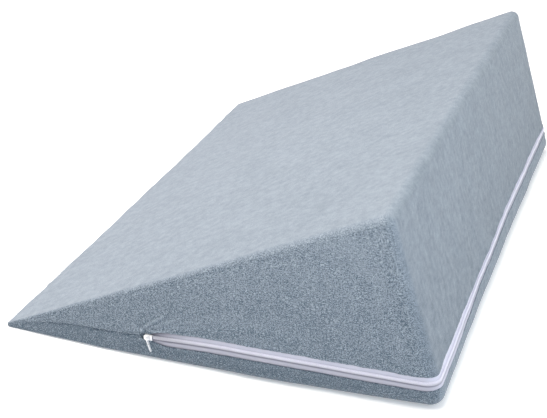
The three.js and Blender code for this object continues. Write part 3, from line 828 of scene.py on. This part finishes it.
class Board:
    """A material and its nodes."""

    def __init__(self, name):
        self.material = bpy.data.materials.new(name)
        self.material.use_nodes = True
        self.tree = self.material.node_tree
        self.shader = self.tree.nodes["Principled BSDF"]

    def node(self, kind, settings=None, inputs=None, out=0):
        """A node of that type; settings are set first, then its sockets get values or links."""
        made = self.tree.nodes.new(kind)
        for key, value in (settings or {}).items():
            if key == "stops":
                self.set_stops(made.color_ramp, value)
            else:
                setattr(made, key, value)
        for key, value in (inputs or {}).items():
            self.put(made.inputs[key], value)
        return Wire(self, made.outputs[out])

    def set_stops(self, ramp, stops):
        """The ramp's own two elements take the first and last stop, and the rest go in at their places."""
        ramp.elements[0].position, ramp.elements[1].position = stops[0][0], stops[-1][0]
        for place, _ in stops[1:-1]:
            ramp.elements.new(place)
        for element, (_, colour) in zip(ramp.elements, stops):
            element.color = (*colour, 1)

    def put(self, socket, value):
        if isinstance(value, Wire):
            self.tree.links.new(value.socket, socket)
        else:
            socket.default_value = value

    def finish(self, **sockets):
        """Values or links for the shader's own sockets, named with _ for a space."""
        for key, value in sockets.items():
            self.put(self.shader.inputs[key.replace("_", " ")], value)
        return self.material


def noise(b, place, scale, detail=2.0, roughness=0.5, out=0):
    inputs = {"Vector": place, "Scale": scale, "Detail": detail, "Roughness": roughness}
    return b.node("ShaderNodeTexNoise", {}, inputs, out)


def painted(b, name):
    """The number that `paint` put on the mesh under a name."""
    return b.node("ShaderNodeAttribute", {"attribute_name": name}, out=2)


def object_place(b):
    return b.node("ShaderNodeTexCoord", out=3)


def blend(b, share, dark, light):
    """A colour between two, by a share that is kept within 0 and 1."""
    return b.node("ShaderNodeMix", {"data_type": "RGBA", "clamp_factor": True},
                  {0: share, 6: (*dark, 1), 7: (*light, 1)}, out=2)


def bumped(b, height, strength, distance):
    return b.node("ShaderNodeBump", {}, {"Height": height, "Strength": strength, "Distance": distance})


# %% [markdown]
# ## Terry cloth
# Terry is a mat of small loops of yarn, one to two millimetres each. Two patterns make it. A cell pattern
# is high in the middle of a cell and low between, like the loops' heads. Curling threads run over it: they
# are the lines where a soft noise passes its middle value. The same height drives the bump and the
# darkening between the loops, where light doesn't reach. Broad soft noises make tufts and keep the dye from
# looking even. A little sheen stands for the fuzz that brightens cloth seen at a flat angle.

# %% Terry material
TERRY_DARK = (0.078, 0.112, 0.150)
TERRY_LIGHT = (0.435, 0.500, 0.575)

# How far each part of the pattern moves the tone between the two
LOOP_TONE, TUFT_TONE, DYE_TONE = 1.75, 0.45, 0.16
STREAK_TONE, BORDER_SHADE_TONE, CREASE_TONE = 0.5, 0.255, 0.2


def terry():
    b = Board("terry")
    place = object_place(b)
    flat = b.node("ShaderNodeMapping", {}, {"Vector": place, "Scale": (0.72, 0.8, 1.25)})
    wander = noise(b, flat, 380.0, 1.0, out=1)
    bent = b.node("ShaderNodeMix", {"data_type": "VECTOR"}, {0: 0.0014, 4: flat, 5: wander}, out=1)
    cell = b.node("ShaderNodeTexVoronoi", {}, {"Vector": bent, "Scale": 760.0, "Randomness": 0.75})
    curl = noise(b, flat, 620.0, 0.0) - 0.5
    thread = b.node("ShaderNodeMath", {"operation": "ABSOLUTE", "use_clamp": True}, {0: curl * 8.0})
    fuzz = noise(b, place, 1200.0, 2.0, 0.6)
    height = (1.0 - cell * 1.2) * 0.45 + (1.0 - thread) * 0.35 + fuzz * 0.25

    tuft = noise(b, flat, 120.0)
    dye = noise(b, place, 14.0, 3.0)
    drawn = b.node("ShaderNodeMapping", {}, {"Vector": place, "Scale": (1.0, 1.0, 0.25)})
    streak = noise(b, drawn, 130.0, 3.0, 0.6)
    loops = painted(b, "loops")
    streaks = (streak - 0.5) * STREAK_TONE * painted(b, "streaks")
    tone = 0.5 + (height - 0.5) * LOOP_TONE * loops + (tuft - 0.5) * (TUFT_TONE - loops * 0.4)
    tone = tone + (dye - 0.5) * (DYE_TONE - loops * 0.1) + streaks
    # painted shade on the border, painted light and shade up the walls, on the far slope and along the
    # creases
    tone = tone - painted(b, "border") * BORDER_SHADE_TONE + painted(b, "lie") + painted(b, "creases") * CREASE_TONE
    return b.finish(Base_Color=blend(b, tone, TERRY_DARK, TERRY_LIGHT), Roughness=0.95,
                    Normal=bumped(b, (height + tuft * 0.15) * loops, 0.7, 0.0012),
                    Sheen_Weight=0.2, Sheen_Roughness=0.5, Specular_IOR_Level=0.15)


cover.data.materials.append(terry())
print("terry nodes", len(cover.data.materials[0].node_tree.nodes))

# %% [markdown]
# ## Zip tape, nylon and enamel
# The tape is woven: fine ribs run along it and finer threads across, both read from its own UV map. A ramp
# over its width paints shade: most in the valley beside the chain, where little light falls, more over the
# lower tape than the upper, and more near the lower lip. Another number for each vertex paints shade where
# the cover closes over the tape near the slider, more on the upper tape and beside the lips, and paints light
# on the back.
# The teeth are smooth nylon with a soft shine. The slider and its pull are enamelled, with a clear gloss
# coat and a faint unevenness.

# %% Tape, nylon and enamel materials

# Lightness across the zip, a painted shade, from the lower tape's hidden edge to the upper's, by height from
# the middle in mm
TAPE_SHADE = [(-11.5, 0.3), (-9.5, 0.36), (-6, 0.42), (-5, 0.42), (-4.2, 0.24), (-3.1, 0.14), (-2.2, 0.55),
              (2.4, 0.62), (3.6, 0.64), (8, 0.68)]
# Pitch of the weave's ribs and of its cross threads in mm, and a full turn in radians for their sines
RIB, PICK = 0.84052, 0.55
TURN = 6.283


def woven_tape():
    b = Board("woven tape")
    at = b.node("ShaderNodeUVMap", {"uv_map": "cloth"})
    along = b.node("ShaderNodeSeparateXYZ", {}, {0: at})
    across = b.node("ShaderNodeSeparateXYZ", {}, {0: at}, out=1)
    rib = b.node("ShaderNodeMath", {"operation": "SINE"}, {0: across * (TUCK / RIB * TURN)})
    pick = b.node("ShaderNodeMath", {"operation": "SINE"}, {0: along * (TURN / PICK / UV_PER_MM)})
    weave = rib * 0.5 + pick * 0.25 + noise(b, object_place(b), 900.0) * 0.6
    stops = [(0.5 + 0.5 * h / TUCK, (tone,) * 3) for h, tone in TAPE_SHADE]
    shade = b.node("ShaderNodeValToRGB", {"stops": stops}, {0: across * 0.5 + 0.5})
    tone = weave * 0.12 + shade + painted(b, "light")
    return b.finish(Base_Color=blend(b, tone, (0.10, 0.10, 0.13), (0.79, 0.79, 0.93)), Roughness=0.75,
                    Normal=bumped(b, weave, 0.5, 0.0002), Sheen_Weight=0.1)


def nylon():
    b = Board("nylon")
    grain = noise(b, object_place(b), 700.0)
    tone = grain * 0.2 + painted(b, "lit") * 0.8
    return b.finish(Base_Color=blend(b, tone, (0.50, 0.50, 0.56), (0.84, 0.83, 0.94)),
                    Roughness=grain * 0.2 + 0.3)


def enamel():
    b = Board("enamel")
    wear = noise(b, object_place(b), 400.0, 3.0)
    return b.finish(Base_Color=blend(b, wear, (0.78, 0.79, 0.82), (0.90, 0.90, 0.92)),
                    Roughness=wear * 0.15 + 0.2, Normal=bumped(b, wear, 0.25, 0.0001), Metallic=0.25,
                    Coat_Weight=0.6)


for finish, names in ((woven_tape(), ("tape_above", "tape_below")), (nylon(), ("teeth_above", "teeth_below")),
                      (enamel(), ("slider", "pull", "stop"))):
    for name in names:
        bpy.data.objects[name].data.materials.append(finish)
print("finishes", [m.name for m in bpy.data.materials])

# %% [markdown]
# ## The studio
# The photograph has a white ground and soft light. The floor is a large pale sheet that glows a little, so
# the shadow beside the foot stays faint. The slope is the lightest face, so the main lamp hangs overhead, a
# little in front, and a second one over the thin edge. A weak lamp stands behind the back, and a cool one
# in front fills in the near side. All are two metres wide, for soft shadows. The Standard view keeps the
# white ground white.

# %% Floor, lights and sky
FLOOR_HALF, FLOOR_DROP = 6.0, 0.0005
LAMP_SIZE, LAMP_DISTANCE = 2.0, 3.0
SKY_COLOUR, SKY_STRENGTH = (0.97, 0.99, 1.0, 1), 0.35
LAMPS = [
    # name, direction, watts, tint
    ("overhead, a little in front", (-0.1, -0.3, 1.0), 78.5, (1.0, 0.944, 0.85)),
    ("over the thin edge", (-0.8, 0.1, 0.75), 61, (1.0, 0.91, 0.93)),
    ("behind the back", (0.9, 0.2, 0.6), 14.6, (0.98, 0.98, 1.0)),
    ("front fill", (0.8, -0.8, 0.5), 20.7, (0.58, 0.78, 1.0)),
]


def floor():
    mesh = bpy.data.meshes.new("floor")
    r = FLOOR_HALF
    mesh.from_pydata([(-r, -r, 0), (r, -r, 0), (r, r, 0), (-r, r, 0)], [], [(0, 1, 2, 3)])
    obj = bpy.data.objects.new("floor", mesh)
    bpy.context.scene.collection.objects.link(obj)
    b = Board("pale floor")
    mesh.materials.append(b.finish(Base_Color=(0.93, 0.93, 0.93, 1), Roughness=0.9,
                                   Emission_Color=(1, 1, 1, 1), Emission_Strength=0.3))
    obj.location.z = -FLOOR_DROP


def lamp(name, direction, power, tint):
    """A square lamp that shines at the pillow from a direction."""
    data = bpy.data.lights.new(name, "AREA")
    data.size, data.energy, data.color = LAMP_SIZE, power, tint
    obj = bpy.data.objects.new(name, data)
    way = Vector(direction).normalized()
    obj.location = way * LAMP_DISTANCE
    obj.rotation_euler = (-way).to_track_quat("-Z", "Y").to_euler()
    bpy.context.scene.collection.objects.link(obj)


floor()
for row in LAMPS:
    lamp(*row)
world = bpy.data.worlds.new("sky")
bpy.context.scene.world = world
world.use_nodes = True
background = world.node_tree.nodes["Background"]
background.inputs["Color"].default_value = SKY_COLOUR
background.inputs["Strength"].default_value = SKY_STRENGTH
bpy.context.scene.view_settings.view_transform = "Standard"
bpy.context.scene.view_settings.look = "None"
print("lamps", [o.name for o in bpy.data.objects if o.type == "LIGHT"])
